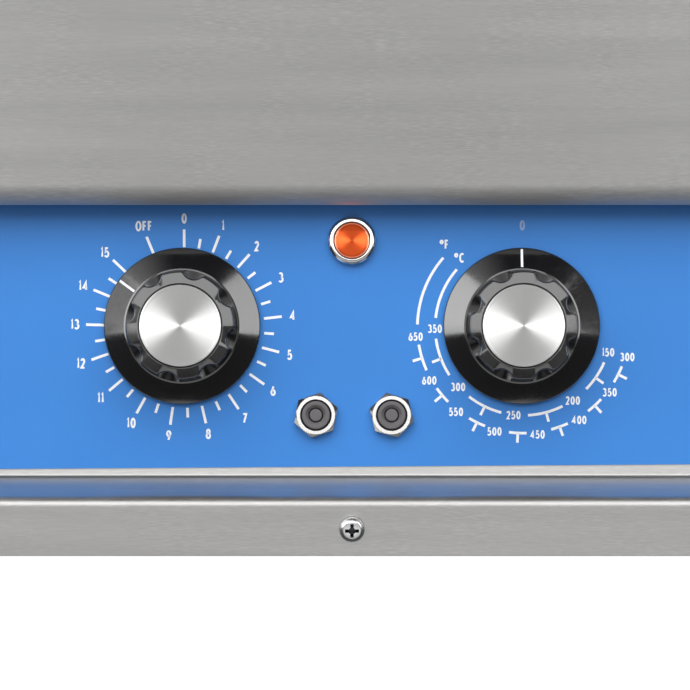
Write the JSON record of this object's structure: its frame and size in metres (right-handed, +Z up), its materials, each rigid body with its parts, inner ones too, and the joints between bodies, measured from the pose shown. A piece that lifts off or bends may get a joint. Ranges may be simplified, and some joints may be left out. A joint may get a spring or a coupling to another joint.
{
  "type": "flat top griddle",
  "caption": "Countertop electric flat top griddle with a leaning blue control panel, timer and thermostat dials, splash guard, grease trough, drawer and adjustable legs.",
  "frame": {"origin": "on the counter under the middle of the griddle's box, at the feet's undersides", "axes": "+X to the right seen from the front, +Y to the rear so the controls face -Y, +Z up"},
  "size_m": [0.55, 0.4769, 0.3655],
  "materials": {
    "brushed_sheet": "brushed stainless sheet, grain running across",
    "plate_steel": "ground and polished steel cooking plate",
    "zinc_sheet": "zinc coated sheet, hidden inside",
    "chrome": "bright plated",
    "cap_aluminium": "spun with circular grain",
    "element_sheath": "dull oxidised tube",
    "copper": "bare copper",
    "blue_overlay": "satin blue with white print",
    "knob_black": "glossy black moulding with a white pointer line",
    "breaker_grey": "dark grey moulding",
    "amber_lens": "translucent orange",
    "blanket": "white ceramic wool",
    "bakelite": "dark moulding",
    "porcelain": "off-white moulding",
    "foot_rubber": "black rubber"
  },
  "bodies": {
    "frame": {"console_front": "brushed_sheet", "panel_overlay": "blue_overlay", "front_apron": "brushed_sheet", "side_panel_left": "brushed_sheet", "side_panel_right": "brushed_sheet", "rear_panel": "brushed_sheet", "base_pan": "zinc_sheet", "splash_guard": "brushed_sheet", "griddle_plate": "plate_steel", "plate_rail_left": "zinc_sheet", "plate_rail_right": "zinc_sheet", "grease_trough": "brushed_sheet", "grease_chute": "brushed_sheet", "heating_element_left": "element_sheath", "heating_element_right": "element_sheath", "element_clamp_front": "zinc_sheet", "element_clamp_rear": "zinc_sheet", "insulation_blanket": "blanket", "heat_shield": "zinc_sheet", "thermostat_bulb": "copper", "bulb_clip": "zinc_sheet", "capillary_tube": "copper", "timer_body": "bakelite", "thermostat_body": "bakelite", "pilot_lamp_bezel": "chrome", "pilot_lamp_lens": "amber_lens", "pilot_lamp_body": "bakelite", "breaker_left_body": "breaker_grey", "breaker_left_nut": "chrome", "breaker_right_body": "breaker_grey", "breaker_right_nut": "chrome", "drawer_rail_left": "zinc_sheet", "drawer_rail_right": "zinc_sheet", "leg_front_left": "chrome", "leg_front_right": "chrome", "leg_rear_left": "chrome", "leg_rear_right": "chrome", "front_screw_left": "chrome", "front_screw_centre": "chrome", "front_screw_right": "chrome", "cable_gland": "bakelite", "gland_locknut": "bakelite", "terminal_block": "porcelain"},
    "timer_dial": {"timer_shaft": "chrome", "timer_knob": "knob_black", "timer_knob_cap": "cap_aluminium"},
    "thermostat_dial": {"thermostat_shaft": "chrome", "thermostat_knob": "knob_black", "thermostat_knob_cap": "cap_aluminium"},
    "reset_left": {"breaker_left_button": "breaker_grey"},
    "reset_right": {"breaker_right_button": "breaker_grey"},
    "drawer": {"grease_drawer": "brushed_sheet", "drawer_front": "brushed_sheet", "drawer_handle": "chrome"},
    "levelling_front_left": {"foot_front_left": "foot_rubber"},
    "levelling_front_right": {"foot_front_right": "foot_rubber"},
    "levelling_rear_left": {"foot_rear_left": "foot_rubber"},
    "levelling_rear_right": {"foot_rear_right": "foot_rubber"}
  },
  "joints": [
    {"name": "timer_turn", "type": "hinge", "parent": "frame", "child": "timer_dial", "pos_m": [-0.05425, -0.19819, 0.16605], "axis": [0, 0.9744, -0.225], "range_deg": [-328.5, 7.5]},
    {"name": "thermostat_turn", "type": "hinge", "parent": "frame", "child": "thermostat_dial", "pos_m": [0.05425, -0.19819, 0.16605], "axis": [0, 0.9744, -0.225], "range_deg": [0, 270]},
    {"name": "reset_left_trip", "type": "slide", "parent": "frame", "child": "reset_left", "axis": [0, -0.9744, 0.225], "range_m": [0, 0.0035]},
    {"name": "reset_right_trip", "type": "slide", "parent": "frame", "child": "reset_right", "axis": [0, -0.9744, 0.225], "range_m": [0, 0.0035]},
    {"name": "drawer_slide", "type": "slide", "parent": "frame", "child": "drawer", "axis": [0, -1, 0], "range_m": [0, 0.165]},
    {"name": "foot_front_left_level", "type": "slide", "parent": "frame", "child": "levelling_front_left", "axis": [0, 0, -1], "range_m": [0, 0.02]},
    {"name": "foot_front_right_level", "type": "slide", "parent": "frame", "child": "levelling_front_right", "axis": [0, 0, -1], "range_m": [0, 0.02]},
    {"name": "foot_rear_left_level", "type": "slide", "parent": "frame", "child": "levelling_rear_left", "axis": [0, 0, -1], "range_m": [0, 0.02]},
    {"name": "foot_rear_right_level", "type": "slide", "parent": "frame", "child": "levelling_rear_right", "axis": [0, 0, -1], "range_m": [0, 0.02]}
  ]
}
